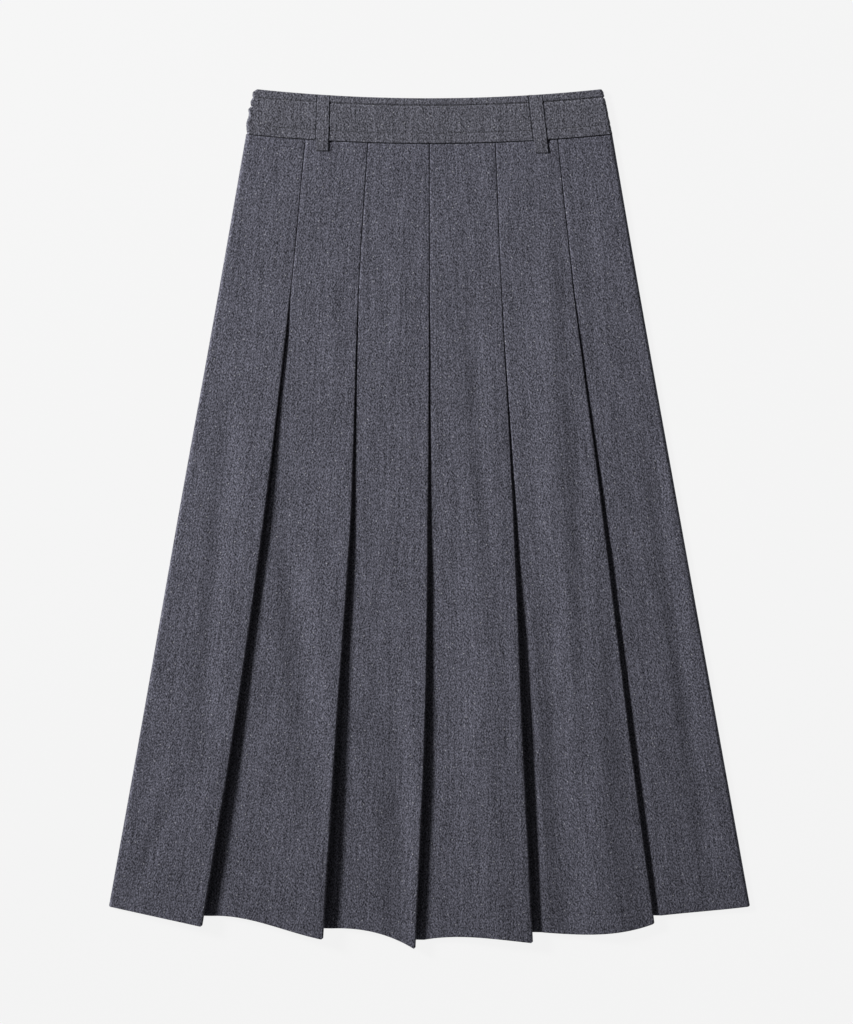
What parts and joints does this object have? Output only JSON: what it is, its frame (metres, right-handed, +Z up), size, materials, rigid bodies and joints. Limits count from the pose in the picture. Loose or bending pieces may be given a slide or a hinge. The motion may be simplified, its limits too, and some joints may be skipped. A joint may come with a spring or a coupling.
{
  "type": "pleated midi skirt",
  "caption": "Pleated A-line midi skirt laid flat: knife pleats sewn down below a contoured waistband with belt loops, opening towards the hem.",
  "frame": {"origin": "on the surface that the skirt lies on, under the centre of its outline", "axes": "+X to the right as the front is seen, +Y towards the waist, +Z up out of the front"},
  "size_m": [0.6287, 0.8422, 0.0175],
  "materials": {
    "flannel": "matte grey melange wool flannel",
    "band_flannel": "matte grey melange wool flannel, fused and pressed",
    "zip_tape": "woven polyester tape with a nylon coil"
  },
  "bodies": {
    "root": {"skirt_front": "flannel", "skirt_back": "flannel", "waistband_front": "band_flannel", "waistband_back": "band_flannel", "belt_loop_front_left": "band_flannel", "belt_loop_front_right": "band_flannel", "belt_loop_back_left": "band_flannel", "belt_loop_back_right": "band_flannel", "side_zip": "zip_tape"}
  },
  "joints": []
}
